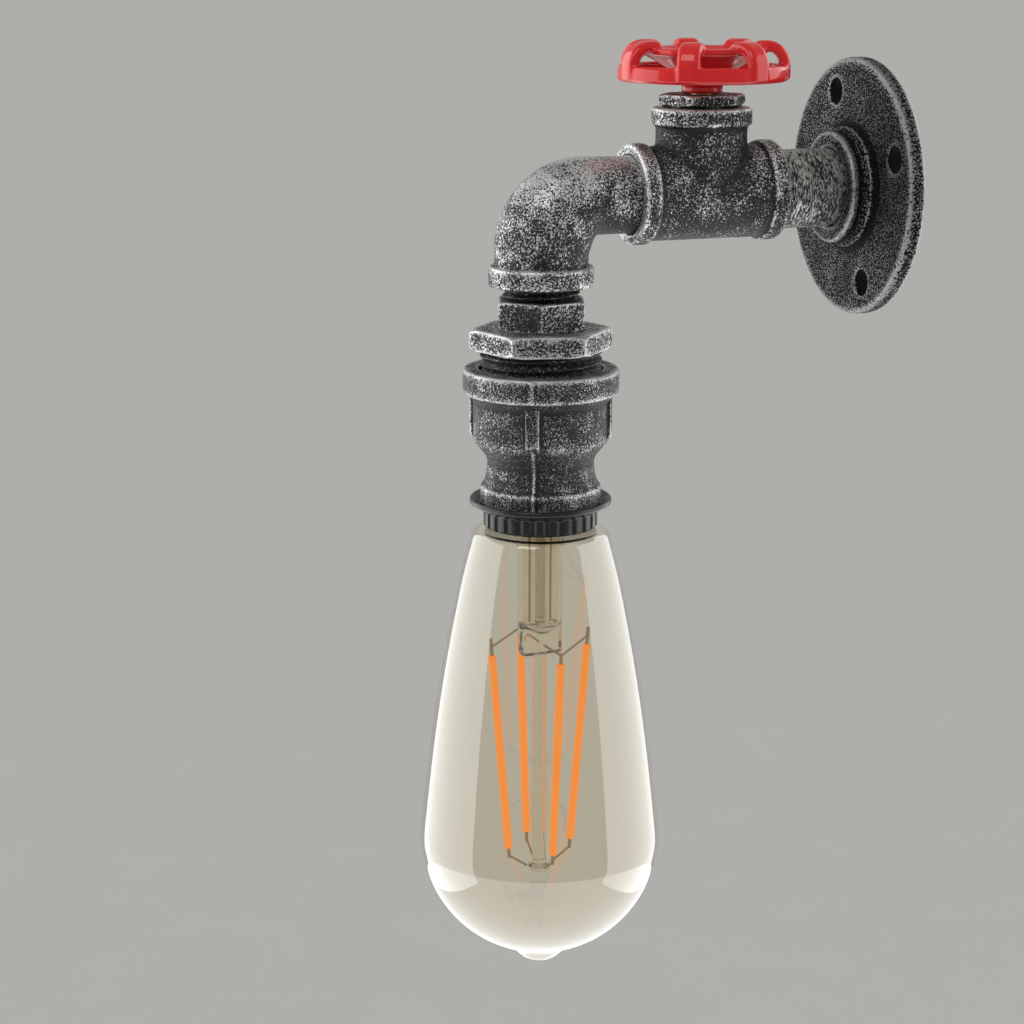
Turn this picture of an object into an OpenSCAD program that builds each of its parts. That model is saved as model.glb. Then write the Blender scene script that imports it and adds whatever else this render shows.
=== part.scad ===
// Wall light built from malleable pipe fittings, with a valve wheel switch and a screw-in bulb.
// Millimetres. Origin at the middle of the flange's back face, +Z up, the arm runs along -Y.

/* [Wall flange] */
// Diameter of the flange plate
flange_d = 70; // [64:0.5:90]
// Thickness of the flange plate
flange_t = 4.6; // [3.5:0.1:8]
// Diameter of the hub where it leaves the plate
hub_d = 33; // [30:0.5:40]
// Diameter of the hub at its front face
hub_front_d = 30.4; // [28:0.2:36]
// Height of the hub above the plate
hub_h = 6.4; // [6:0.1:14]
// Diameter of the circle of screw holes
screw_circle_d = 54; // [50:0.5:60]
// Diameter of each screw hole
screw_hole_d = 7; // [4:0.1:8]
// Number of screw holes
screw_count = 4; // [3:1:6]
// Turn of the first screw hole from level
screw_turn = 20; // [0:1:45]

/* [Half inch pipe] */
// Outside diameter of the pipe
pipe_od = 21.3; // [21:0.1:22.5]
// Bore of the pipe
pipe_id = 16; // [14:0.1:17]
// Length of pipe that shows between the flange and the tee
pipe_show = 17; // [8:0.5:60]
// Diameter of the half inch male thread
thread_d = 20.9; // [20.4:0.1:21]
// Length of thread screwed into each fitting
thread_in = 8.6; // [6:0.1:9]
// Gap between a male and a female thread
thread_gap = 0.12; // [0.05:0.01:0.2]

/* [Tee] */
// Half of the tee's length along the arm
tee_half = 21; // [20:0.5:30]
// Height of the branch face above the arm's axis
tee_up = 22.6; // [22:0.2:30]
// Diameter of the bands round the tee's three mouths
tee_band_d = 27; // [26:0.1:32]
// Width of the tee's bands
tee_band_w = 4.8; // [4:0.1:8]
// Diameter of the tee's body
tee_body_d = 25.2; // [24.2:0.1:25.8]
// Bore of the tee between its threads
tee_bore_d = 18.4; // [16:0.1:19]

/* [Elbow] */
// Distance from the tee's face to the lamp's axis
elbow_run = 24.5; // [20:0.5:40]
// Distance from the arm's axis down to the elbow's face
elbow_drop = 23.2; // [22.4:0.2:32]
// Radius of the elbow's bend on its middle line
bend_r = 14.6; // [14:0.1:16]
// Diameter of the elbow above its band
elbow_body_d = 25.2; // [24.4:0.1:26.5]
// Bore of the elbow
elbow_bore_d = 13; // [10:0.1:14]
// Diameter of the elbow's band
elbow_band_d = 28.2; // [27:0.1:32]
// Width of the elbow's band
elbow_band_w = 5.5; // [4:0.1:7]

/* [Hexagon nipple] */
// Thread that shows above the hexagon
nipple_show = 3.4; // [2:0.1:12]
// Width of the hexagon across its flats
nipple_af = 22.6; // [22:0.1:27]
// Height of the hexagon
nipple_hex_h = 7.8; // [3:0.1:10]
// Bore of the hexagon nipple
nipple_bore_d = 14; // [11:0.1:16]

/* [Reducing bush] */
// Width of the bush's hexagon across its flats
bush_af = 33.4; // [33.2:0.1:42]
// Height of the bush's hexagon
bush_hex_h = 5.8; // [4:0.1:12]
// Diameter of the one inch thread
bush_thread_d = 33; // [31:0.1:33.2]
// Thread that shows under the hexagon
bush_show = 4.8; // [2:0.1:12]
// Length of thread screwed into the socket
bush_in = 7; // [5:0.1:8]

/* [Reducing socket] */
// Diameter of the large band
socket_band_d = 42; // [41:0.2:46]
// Height of the large band
socket_band_h = 6.8; // [5:0.1:10]
// Diameter of the upper body
socket_body_d = 36.4; // [36:0.1:39]
// Distance from the top face to where the body starts to draw in
socket_body_drop = 18.6; // [17.6:0.1:19.4]
// Diameter of the waist
socket_waist_d = 28.8; // [27.5:0.1:32]
// Distance from the top face to the waist
socket_waist_drop = 25.4; // [24.4:0.1:28]
// Diameter of the small band
socket_foot_d = 32.8; // [32:0.1:37]
// Height of the small band
socket_foot_h = 5.2; // [4:0.1:8]
// Overall length of the socket
socket_len = 37; // [36:0.2:50]
// Width of the four cast ribs
rib_w = 3.5; // [2:0.1:5]
// How far the cast ribs stand proud
rib_out = 1; // [0.4:0.1:1.5]

/* [Valve wheel] */
// Diameter of the wheel's skirt
wheel_d = 45.6; // [40:0.2:70]
// Height of the wheel without its neck
wheel_h = 10.4; // [10:0.1:12]
// Height of the skirt
skirt_h = 4.4; // [3.6:0.1:4.8]
// Wall of the skirt
skirt_wall = 2.2; // [1.5:0.1:3]
// Number of arched ribs
wheel_ribs = 7; // [5:1:9]
// Width of each arched rib
wheel_rib_w = 6.2; // [4:0.1:7]
// Thickness of each arched rib
wheel_rib_t = 2.6; // [2:0.1:3]
// Diameter of the wheel's neck
wheel_neck_d = 12; // [10:0.1:16]
// Height of the neck under the skirt
wheel_neck_h = 3; // [2:0.1:8]
// Diameter of the spindle
stem_d = 6; // [4:0.1:7]
// Width of the gland's hexagon across its flats
gland_af = 21.2; // [21:0.1:25]
// Height of the gland's hexagon
gland_h = 2.8; // [2.4:0.1:8]
// Thread that shows under the gland's hexagon
gland_show = 0.6; // [0.3:0.1:3]

/* [Shade ring] */
// Diameter of the ring's dished flange
ring_d = 38.4; // [36:0.2:46]
// Diameter of the knurled part
knurl_d = 31; // [30:0.1:34]
// Height of the ring under the socket
ring_h = 6.3; // [5:0.1:10]
// Number of notches in the knurl
knurl_count = 26; // [16:1:36]

/* [Lampholder] */
// Diameter of the holder's outside thread
sleeve_d = 27.8; // [26.5:0.1:28.2]
// Wall of the holder's sleeve
sleeve_wall = 1.3; // [1:0.1:1.8]
// Diameter of the holder's dome
dome_d = 21.6; // [20.5:0.1:22]
// Diameter of the hanging tube
tube_d = 10; // [9:0.1:11]
// Bore of the hanging tube
tube_bore_d = 7.2; // [6:0.1:7.6]
// Inside diameter of the screw shell
shell_bore_d = 14.3; // [14:0.1:15]

/* [Bulb] */
// Largest diameter of the glass
bulb_d = 67; // [60:0.5:70]
// Diameter of the glass shoulder under the ring
shoulder_d = 38; // [34:0.5:42]
// Length of glass under the ring
glass_len = 127.5; // [118:0.5:140]
// Distance from the shoulder to the widest place
belly_drop = 88; // [70:0.5:95]
// Thickness of the glass
glass_wall = 1; // [0.6:0.1:1.4]
// Diameter of the screw cap
cap_d = 13.9; // [13.4:0.1:13.95]
// Diameter of the glass stem tube
stem_tube_d = 12.4; // [10:0.1:13]
// Wall of the glass stem tube
stem_wall = 1.2; // [0.8:0.1:2]
// Diameter of the exhaust tube inside the stem
exhaust_d = 3; // [2.4:0.1:4]
// Bore of the exhaust tube
exhaust_bore_d = 1.8; // [1:0.1:2]
// Distance from the shoulder to the end of the stem tube
stem_drop = 27; // [20:0.5:32]
// Length of the stem's pinched end
pinch_len = 9; // [7:0.5:14]
// Thickness of the stem's pinched end
pinch_t = 5; // [4.6:0.1:8]
// Length of the filaments
filament_len = 57; // [40:0.5:60]
// Diameter of each filament
filament_d = 2.3; // [1.4:0.1:3]
// Radius of the circle of filament tops
filament_top_r = 14.2; // [10:0.1:16]
// Radius of the circle of filament ends
filament_foot_r = 9.4; // [6:0.1:12]
// Turn of the filaments about the lamp's axis
filament_turn = 3; // [0:1:89]

/* [Hidden] */

$fn = 64;
// Running clearance between pieces that turn or slide on each other
run_gap = 0.3;
// Chamfer on cast edges
edge = 0.8;
// Relief that rounds a face against its neighbour
relief = 0.5;
wall_min = 1.2;

// Places along the arm, measured from the wall
hub_out = flange_t + hub_h;
tee_near = hub_out + pipe_show;
tee_out = tee_near + tee_half;
tee_far = tee_out + tee_half;
lamp_out = tee_far + elbow_run;

// Heights along the lamp's axis, measured from the arm's axis
elbow_z = -elbow_drop;
nipple_hex_z = elbow_z - nipple_show;
bush_z = nipple_hex_z - nipple_hex_h;
bush_under_z = bush_z - bush_hex_h;
socket_z = bush_under_z - bush_show;
socket_foot_z = socket_z - socket_len;
ring_z = socket_foot_z - ring_h;

// Thread sizes
female_r = thread_d / 2 + thread_gap;
female_deep = thread_in + relief;
bush_female_r = bush_thread_d / 2 + thread_gap;

// Inside of the socket
ledge_deep = socket_body_drop - wall_min;
ledge_z = socket_z - ledge_deep;
chamber_r = bush_female_r - wall_min;
sleeve_r = sleeve_d / 2;
dome_r = dome_d / 2;
ledge_hole_r = dome_r + run_gap;
foot_bore_r = sleeve_r + run_gap;
foot_bore_z = socket_foot_z + socket_foot_h - relief;

// Lampholder heights
washer_t = 1.5;
locknut_h = 4;
dome_top_z = ledge_z;
dome_low_z = foot_bore_z - run_gap;
sleeve_lid_t = 1.6;
sleeve_low_z = ring_z + relief;
insert_t = 4.2;
insert_z = dome_top_z - 9;
shell_wall = 0.35;
shell_r = shell_bore_d / 2;
shell_low_z = sleeve_low_z + 1.6;
terminal_x = 3.4;
terminal_y = 1.2;
contact_t = 0.5;

// Valve wheel heights
gland_z = tee_up + gland_show;
gland_top_z = gland_z + gland_h;
wheel_neck_z = gland_top_z + run_gap;
wheel_z = wheel_neck_z + wheel_neck_h;
wheel_r = wheel_d / 2;
rib_arc_r = wheel_h - skirt_h;
rib_arc_c = wheel_r - rib_arc_r;
rib_flat = 1.3;
hub_top_z = wheel_z + skirt_h + 0.8;
wheel_turn = -34;
stem_r = stem_d / 2;

// Switch heights
switch_r = tee_bore_d / 2 - run_gap;
switch_low_z = 6.4;
switch_top_z = tee_up - female_deep - run_gap;
switch_wall = 1.4;
switch_neck_r = stem_r + 2.2;
rotor_r = switch_r - switch_wall - 1.6;
rotor_z = switch_low_z + switch_wall + relief;
rotor_h = switch_top_z - switch_low_z - 2 * switch_wall - 2 * relief;
stem_low_end = rotor_z - run_gap;
stem_fit = 0.1;

// Bulb heights
cap_wall = 0.4;
button_t = 1.2;
insulator_h = 1.6;
bulb_r = bulb_d / 2;
shoulder_r = shoulder_d / 2;
cap_r = cap_d / 2;
shoulder_z = ring_z - 0.6;
tip_z = ring_z - glass_len;
belly_z = shoulder_z - belly_drop;
neck_r = cap_r - cap_wall - 0.2;
neck_top_z = shoulder_z + 3.4;
cap_top_z = insert_z - contact_t - stem_fit - button_t - insulator_h;
cap_flare_z = shoulder_z + 2;
pip_h = 6.6;
insulator_top_r = 3.2;
stem_low_z = shoulder_z - stem_drop;
pinch_z = stem_low_z - pinch_len;
rod_d = 4;
rod_button_d = 6.6;
rod_button_h = 3;
filament_top_z = pinch_z + 1;
filament_lean = asin((filament_top_r - filament_foot_r) / filament_len);
filament_foot_z = filament_top_z - filament_len * cos(filament_lean);
button_z = filament_foot_z - 5;
wire_d = 0.6;
pin_len = 2.4;

// Wires: routes chosen by hand through the pipes, in the frame of the light
feed_d = 1.8;
live_feed_route = [
    [3.4, -2, 1.5], [3.4, -9, 1.5], [3.2, -18, 1.6], [3, -27, 1.8], [3, -35, 2.2],
    [3, -41, 3], [3, -45, 3.8], [3, -47.2, 5], [3, -47.6, 7.4]
];
live_lamp_route = [
    [-3, -50.4, 7.4], [-3, -51, 4.6], [-3, -53, 2.6], [-2.8, -57, 1.4], [-2.6, -63, 0.6],
    [-2.4, -71, 0], [-2.2, -78, 0], [-1.9, -84, -1.4], [-1.7, -88.6, -4.6], [-1.5, -91.6, -9.4],
    [-1.4, -92.8, -15], [-1.3, -93.2, -24], [-1.3, -93.3, -36], [-1.3, -93.3, -50], [-1.3, -93.3, -58],
    [-1.3, -93.3, -62.8], [-1.6, -93.3, -65.4], [-3.1, -93.3, -66.9], [-3.4, -93.3, -68.8]
];
neutral_route = [
    [-3.4, -2, -1.5], [-3.2, -12, -1.6], [-2.6, -25, -2], [-1.2, -40, -2.6], [0.6, -50, -2.8],
    [1.6, -60, -2.6], [1.8, -70, -2.4], [1.8, -77, -2.5], [1.7, -82, -3], [1.6, -86.9, -5.8],
    [1.5, -89.6, -10], [1.4, -90.9, -15], [1.3, -91.6, -24], [1.3, -92.6, -36], [1.3, -93, -50],
    [1.3, -93.3, -58], [1.3, -93.3, -62.8], [1.6, -93.3, -65.4], [3.1, -93.3, -66.9], [3.4, -93.3, -68.8]
];

iron = "dimgray";
brass = "goldenrod";
steel = "lightsteelblue";
black = "#1c1c1e";
red = "firebrick";
porcelain = "gainsboro";
glass = [0.85, 0.75, 0.55, 0.35];
amber = "darkorange";

// Points along an arc, from one angle to another
function arc(cx, cy, r, a0, a1, n = 8) =
    [for (i = [0:n]) [cx + r * cos(a0 + (a1 - a0) * i / n), cy + r * sin(a0 + (a1 - a0) * i / n)]];

// Points of a quarter ellipse between two places, leaving the first one upright
function swell(p, q, n = 10) =
    [for (i = [0:n]) [q[0] + (p[0] - q[0]) * cos(90 * i / n), p[1] + (q[1] - p[1]) * sin(90 * i / n)]];

// Stacks the parts of a revolved solid on the arm, at a distance from the wall
module along_arm(out = 0) {
    translate([0, -out, 0])
        rotate([90, 0, 0])
            children();
}

module at_lamp(z = 0) {
    translate([0, -lamp_out, z])
        children();
}

module at_branch(z = 0) {
    translate([0, -tee_out, z])
        children();
}

// Turns a piece about the lamp's axis
module turn_at_lamp(angle) {
    at_lamp()
        rotate(angle)
            translate([0, lamp_out, 0])
                children();
}

module turned(outline) {
    rotate_extrude()
        polygon(outline);
}

// A straight round wire between two points
module wire(p, q, d) {
    run = q - p;
    flat = norm([run[0], run[1]]);
    translate(p)
        rotate([0, atan2(flat, run[2]), atan2(run[1], run[0])])
            cylinder(h = norm(run), d = d, $fn = 24);
}

// A hexagon bar with its corners turned down to a cone at both ends
module hex_bar(af, h, turn) {
    corner_r = af / 2 / cos(30);
    bevel = (corner_r - af / 2) * 0.62;
    intersection() {
        rotate(turn)
            cylinder(h = h, r = corner_r, $fn = 6);
        turned([[0, 0], [corner_r - bevel, 0], [corner_r, bevel * 0.5], [corner_r, h - bevel * 0.5],
            [corner_r - bevel, h], [0, h]]);
    }
}

// Outline of a band from its lower to its upper edge, rounded at both
function band_outline(r, z0, z1) =
    concat(arc(r - edge, z0 + edge, edge, -90, 0, 4), arc(r - edge, z1 - edge, edge, 0, 90, 4));

// A tube swept along a route, with its section kept square to the run
function unit(v) = v / norm(v);
function heading(route, i) =
    unit(route[min(i + 1, len(route) - 1)] - route[max(i - 1, 0)]);
function side(t) = unit([1, 0, 0] - t * t[0]);

module cord(route, d, sides = 8) {
    rings = len(route);
    points = [for (i = [0:rings - 1]) let (t = heading(route, i), u = side(t), v = cross(t, u))
        for (k = [0:sides - 1]) route[i] + d / 2 * (u * cos(360 * k / sides) + v * sin(360 * k / sides))];
    walls = [for (i = [0:rings - 2], k = [0:sides - 1])
        let (a = i * sides + k, b = i * sides + (k + 1) % sides)
            each [[a, a + sides, b], [b, a + sides, b + sides]]];
    ends = [for (k = [1:sides - 2]) each [[0, k, k + 1],
        [(rings - 1) * sides, (rings - 1) * sides + k + 1, (rings - 1) * sides + k]]];
    polyhedron(points, concat(walls, ends));
}

// Fixed pieces

module wall_flange() {
    flange_r = flange_d / 2;
    front_r = hub_front_d / 2;
    color(iron)
        difference() {
            along_arm()
                turned(concat(
                    [[pipe_id / 2, 0], [flange_r - edge, 0]],
                    arc(flange_r - edge, edge, edge, -90, 0, 4),
                    arc(flange_r - 1.2, flange_t - 1.2, 1.2, 0, 90, 5),
                    [[hub_d / 2 + edge, flange_t], [hub_d / 2, flange_t + edge],
                    [hub_d / 2, flange_t + hub_h * 0.26], [hub_d / 2 - edge, flange_t + hub_h * 0.36],
                    [front_r - 0.5, flange_t + hub_h * 0.56]],
                    band_outline(front_r, hub_out - 2.4, hub_out),
                    [[pipe_id / 2, hub_out]]));
            along_arm(hub_out - female_deep)
                cylinder(h = female_deep + 1, r = female_r);
            along_arm(hub_out - relief)
                cylinder(h = relief + 0.01, r1 = female_r, r2 = female_r + relief);
            for (i = [0:screw_count - 1])
                along_arm(-1)
                    rotate(screw_turn + 360 * i / screw_count)
                        translate([screw_circle_d / 2, 0, 0])
                            cylinder(h = flange_t + 2, d = screw_hole_d);
        }
}

module arm_nipple() {
    near = hub_out - thread_in;
    far = tee_near + thread_in;
    thread_r = thread_d / 2;
    color(iron)
        along_arm()
            turned([[pipe_id / 2, near], [thread_r - relief, near], [thread_r, near + relief],
                [thread_r, hub_out + relief], [pipe_od / 2, hub_out + 2 * relief],
                [pipe_od / 2, tee_near - 2 * relief], [thread_r, tee_near - relief],
                [thread_r, far - relief], [thread_r - relief, far], [pipe_id / 2, far]]);
}

module pipe_tee() {
    body_r = tee_body_d / 2;
    branch_r = body_r - 0.3;
    band_r = tee_band_d / 2;
    color(iron)
        difference() {
            union() {
                along_arm(tee_out)
                    turned(concat(
                        [[0, -tee_half]],
                        band_outline(band_r, -tee_half, -tee_half + tee_band_w),
                        [[body_r, -tee_half + tee_band_w + relief], [body_r, tee_half - tee_band_w - relief]],
                        band_outline(band_r, tee_half - tee_band_w, tee_half),
                        [[0, tee_half]]));
                at_branch()
                    turned(concat(
                        [[0, 0], [branch_r, 0], [branch_r, tee_up - tee_band_w - relief]],
                        band_outline(band_r, tee_up - tee_band_w, tee_up),
                        [[0, tee_up]]));
            }
            along_arm(tee_near - 1)
                cylinder(h = 2 * tee_half + 2, d = tee_bore_d);
            along_arm(tee_near - 1)
                cylinder(h = female_deep + 1, r = female_r);
            along_arm(tee_far - female_deep)
                cylinder(h = female_deep + 1, r = female_r);
            at_branch()
                cylinder(h = tee_up + 1, d = tee_bore_d - 2 * stem_fit);
            at_branch(tee_up - female_deep)
                cylinder(h = female_deep + 1, r = female_r);
        }
}

module gland_nut() {
    low = tee_up - thread_in;
    color(iron)
        difference() {
            union() {
                at_branch(gland_z)
                    hex_bar(gland_af, gland_h, 24);
                at_branch(low)
                    cylinder(h = gland_z - low + relief, d = thread_d);
            }
            at_branch(low - 1)
                cylinder(h = gland_top_z - low + 2, r = stem_r + stem_fit);
            at_branch(low - 1)
                cylinder(h = tee_up - low + 1, r = switch_neck_r + stem_fit);
        }
}

module street_elbow() {
    body_r = elbow_body_d / 2;
    bend_y = lamp_out - bend_r;
    bore_r = elbow_bore_d / 2;
    male_end = tee_far - thread_in;
    color(iron)
        difference() {
            union() {
                along_arm()
                    turned([[0, male_end], [thread_d / 2 - relief, male_end],
                        [thread_d / 2, male_end + relief],
                        [thread_d / 2, tee_far + relief], [0, tee_far + relief]]);
                swelling_bend(thread_d / 2 - 0.1, body_r);
                at_lamp()
                    turned(concat(
                        [[0, elbow_z]],
                        band_outline(elbow_band_d / 2, elbow_z, elbow_z + elbow_band_w),
                        [[0, elbow_z + elbow_band_w]]));
            }
            along_arm(male_end - 1)
                cylinder(h = bend_y - male_end + 1, r = bore_r);
            translate([0, -bend_y, -bend_r])
                rotate([0, 90, 0])
                    rotate(180)
                        rotate_extrude(angle = 90)
                            translate([bend_r, 0])
                                circle(r = bore_r);
            at_lamp(elbow_z - 1)
                cylinder(h = elbow_drop - bend_r + 1, r = bore_r);
            at_lamp(elbow_z - 1)
                cylinder(h = female_deep + 1, r = female_r);
        }
}

// The elbow's neck, its quarter bend that grows on the way, and its leg down into the band
module swelling_bend(r0, r1, heel = 0.6, steps = 12, sides = 32) {
    centre_y = bend_r - lamp_out;
    bend_rings = [for (i = [0:steps]) let (a = 90 * i / steps)
        [for (k = [0:sides - 1]) let (
            b = 360 * k / sides,
            r = r0 + (r1 - r0) * sin(a) + heel * sin(2 * a),
            out = bend_r + r * cos(b))
            [r * sin(b), centre_y - out * sin(a), -bend_r + out * cos(a)]]];
    neck = [for (p = bend_rings[0]) [p[0], relief - tee_far, p[2]]];
    leg = [for (p = bend_rings[steps]) [p[0], p[1], elbow_z + elbow_band_w / 2]];
    rings = concat([neck], bend_rings, [leg]);
    points = [for (ring = rings) each ring];
    last = len(rings) - 1;
    walls = [for (i = [0:last - 1], k = [0:sides - 1])
        let (p = i * sides + k, q = i * sides + (k + 1) % sides)
            each [[p, q, p + sides], [q, q + sides, p + sides]]];
    ends = [[for (k = [sides - 1:-1:0]) k], [for (k = [0:sides - 1]) last * sides + k]];
    polyhedron(points, concat(walls, ends));
}

module hex_nipple() {
    low = bush_z - thread_in;
    color(iron)
        difference() {
            union() {
                at_lamp(bush_z)
                    hex_bar(nipple_af, nipple_hex_h, 41);
                at_lamp(nipple_hex_z - relief)
                    cylinder(h = nipple_show + thread_in + relief, d = thread_d);
                at_lamp(low)
                    cylinder(h = thread_in + relief, d = thread_d);
            }
            at_lamp(low - 1)
                cylinder(h = nipple_hex_h + nipple_show + 2 * thread_in + 2, d = nipple_bore_d);
        }
}

module reducing_bush() {
    low = socket_z - bush_in;
    color(iron)
        difference() {
            union() {
                at_lamp(bush_under_z)
                    hex_bar(bush_af, bush_hex_h, 17);
                at_lamp(low)
                    cylinder(h = bush_in + bush_show + relief, d = bush_thread_d);
            }
            at_lamp(low - 1)
                cylinder(h = bush_in + bush_show + bush_hex_h + 2, r = female_r);
        }
}

// Outer line of the socket between its two bands, as radius over height
function socket_side() = concat(
    [[socket_foot_d / 2 - edge, socket_foot_z + socket_foot_h + 0.2]],
    [[socket_waist_d / 2 + 0.4, socket_foot_z + socket_foot_h + 2.4]],
    [[socket_waist_d / 2, socket_z - socket_waist_drop]],
    [[socket_waist_d / 2 + 0.5, socket_z - socket_waist_drop + 1.6]],
    arc(socket_body_d / 2 - 4, socket_z - socket_body_drop + 0.4, 4, -42, 0, 5));

// A raised sector that follows the socket's side line
module socket_fin(width, out, line) {
    turn = 360 * width / (PI * socket_body_d);
    inner_r = socket_waist_d / 2 - wall_min;
    at_lamp()
        rotate(-turn / 2)
            rotate_extrude(angle = turn)
                polygon(concat([[inner_r, line[0][1]]], [for (p = line) [p[0] + out, p[1]]],
                    [[inner_r, line[len(line) - 1][1]]]));
}

module reducing_socket() {
    foot_r = socket_foot_d / 2;
    band_r = socket_band_d / 2;
    body_r = socket_body_d / 2;
    band_under = socket_z - socket_band_h + edge;
    color(iron)
        difference() {
            union() {
                at_lamp()
                    turned(concat(
                        [[0, socket_foot_z]],
                        band_outline(foot_r, socket_foot_z, socket_foot_z + socket_foot_h),
                        socket_side(),
                        [[body_r, socket_z - socket_band_h - 2]],
                        band_outline(band_r, socket_z - socket_band_h, socket_z),
                        [[0, socket_z]]));
                for (i = [0:3])
                    turn_at_lamp(-27 + 90 * i)
                        socket_fin(rib_w, rib_out, [[body_r - 1.6, socket_z - socket_body_drop - 1.8],
                            [body_r, socket_z - socket_body_drop + 0.4], [body_r, band_under]]);
                for (i = [0:1])
                    turn_at_lamp(-27 + 180 * i)
                        socket_fin(rib_w / 4, rib_out / 2, concat([[foot_r, socket_foot_z + relief],
                            [foot_r, socket_foot_z + socket_foot_h - relief]], socket_side()));
            }
            at_lamp(socket_z - bush_in - relief)
                cylinder(h = bush_in + relief + 1, r = bush_female_r);
            at_lamp(ledge_z)
                cylinder(h = ledge_deep, r = chamber_r);
            at_lamp(socket_foot_z - 1)
                cylinder(h = socket_len, r = ledge_hole_r);
            at_lamp(socket_foot_z - 1)
                cylinder(h = foot_bore_z - socket_foot_z + 1, r = foot_bore_r);
        }
}

module shade_ring() {
    bore_r = sleeve_r + thread_gap;
    lip_r = ring_d / 2;
    seat_r = socket_foot_d / 2;
    skin = 1.3;
    color(black)
        difference() {
            at_lamp()
                turned([[bore_r, ring_z], [knurl_d / 2 - relief, ring_z], [knurl_d / 2, ring_z + relief],
                    [knurl_d / 2, socket_foot_z - skin], [seat_r, socket_foot_z - skin],
                    [lip_r, socket_foot_z + 0.2], [lip_r, socket_foot_z + 1.2],
                    [lip_r - 0.4, socket_foot_z + 1.6], [lip_r - 0.9, socket_foot_z + 1.5],
                    [seat_r + run_gap, socket_foot_z], [bore_r, socket_foot_z]]);
            for (i = [0:knurl_count - 1])
                at_lamp(ring_z - 1)
                    rotate(360 * i / knurl_count)
                        translate([knurl_d / 2 + 0.35, 0, 0])
                            cylinder(h = ring_h - skin + 0.6, r = 0.95, $fn = 16);
        }
}

module switch_housing() {
    low = switch_low_z;
    top = switch_top_z;
    color(black)
        at_branch()
            difference() {
                turned([[0, low], [switch_r - edge, low], [switch_r, low + edge], [switch_r, top],
                    [switch_neck_r, top], [switch_neck_r, tee_up - stem_fit], [0, tee_up - stem_fit]]);
                translate([0, 0, low + switch_wall])
                    cylinder(h = top - low - 2 * switch_wall, r = switch_r - switch_wall);
                translate([0, 0, low + switch_wall])
                    cylinder(h = tee_up, r = stem_r + stem_fit);
                for (s = [-1, 1])
                    translate([s * 3, s * 1.4, low - 1])
                        cylinder(h = 2 * switch_wall + 1, d = feed_d + 2 * run_gap);
            }
}

// Two sprung leaves on the wall of the switch, one at each end of the rotor's bridge
module switch_contacts() {
    leaf_r = switch_r - switch_wall;
    leaf_t = 0.8;
    color(brass)
        at_branch(rotor_z)
            for (s = [0, 180])
                rotate(s)
                    rotate(-22)
                        rotate_extrude(angle = 44)
                            translate([leaf_r - leaf_t, 0])
                                square([leaf_t, rotor_h]);
}

module live_feed_wire() {
    color("brown")
        cord(live_feed_route, feed_d);
}

module live_lamp_wire() {
    color("sienna")
        cord(live_lamp_route, feed_d);
}

module neutral_wire() {
    color("steelblue")
        cord(neutral_route, feed_d);
}

module holder_tube() {
    low = dome_top_z - 2.4;
    high = ledge_z + washer_t + 7;
    color(steel)
        at_lamp(low)
            difference() {
                cylinder(h = high - low, d = tube_d);
                translate([0, 0, -1])
                    cylinder(h = high - low + 2, d = tube_bore_d);
            }
}

module holder_locknut() {
    color(steel)
        at_lamp(ledge_z + washer_t)
            difference() {
                hex_bar(tube_d * 1.5, locknut_h, 10);
                translate([0, 0, -relief])
                    cylinder(h = locknut_h + 2 * relief, d = tube_d + 2 * thread_gap);
            }
}

module holder_washer() {
    color(steel)
        at_lamp(ledge_z)
            difference() {
                cylinder(h = washer_t, r = chamber_r - run_gap);
                translate([0, 0, -1])
                    cylinder(h = washer_t + 2, d = tube_d + 2 * thread_gap);
            }
}

module holder_dome() {
    wall = 1.4;
    inner_r = dome_r - wall;
    color(black)
        at_lamp()
            turned(concat(
                [[inner_r, dome_low_z], [dome_r, dome_low_z]],
                arc(dome_r - 2.4, dome_top_z - 2.4, 2.4, 0, 90, 6),
                [[tube_d / 2 + thread_gap, dome_top_z], [tube_d / 2 + thread_gap, dome_top_z - 1.6],
                [inner_r - 1.6, dome_top_z - 1.6], [inner_r, dome_top_z - 3.2]]));
}

module holder_sleeve() {
    inner_r = sleeve_r - sleeve_wall;
    lid_hole_r = shell_r + shell_wall + 0.6;
    color(black)
        at_lamp()
            turned([[inner_r, sleeve_low_z], [sleeve_r, sleeve_low_z], [sleeve_r, dome_low_z - relief],
                [sleeve_r - relief, dome_low_z], [lid_hole_r, dome_low_z],
                [lid_hole_r, dome_low_z - sleeve_lid_t],
                [inner_r, dome_low_z - sleeve_lid_t]]);
}

module holder_insert() {
    body_r = dome_r - 1.4 - run_gap;
    top = insert_z + insert_t;
    color(porcelain)
        at_lamp()
            difference() {
                translate([0, 0, dome_low_z])
                    cylinder(h = top - dome_low_z, r = body_r);
                translate([0, 0, dome_low_z - 1])
                    cylinder(h = insert_z - dome_low_z + 1, r = shell_r + shell_wall + thread_gap);
                for (s = [-1, 1])
                    translate([s * terminal_x, terminal_y, top - 2])
                        cylinder(h = 4, d = feed_d + 2 * run_gap);
            }
}

module screw_shell() {
    color(brass)
        at_lamp()
            difference() {
                translate([0, 0, shell_low_z])
                    cylinder(h = insert_z - shell_low_z, r = shell_r + shell_wall);
                translate([0, 0, shell_low_z - 1])
                    cylinder(h = insert_z - shell_low_z + 1 - shell_wall, r = shell_r);
                translate([0, 0, insert_z - 2])
                    cylinder(h = 4, r = shell_r * 0.62);
            }
}

module centre_contact() {
    color(brass)
        at_lamp(insert_z - contact_t)
            cylinder(h = contact_t, r = shell_r * 0.4);
}

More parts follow.
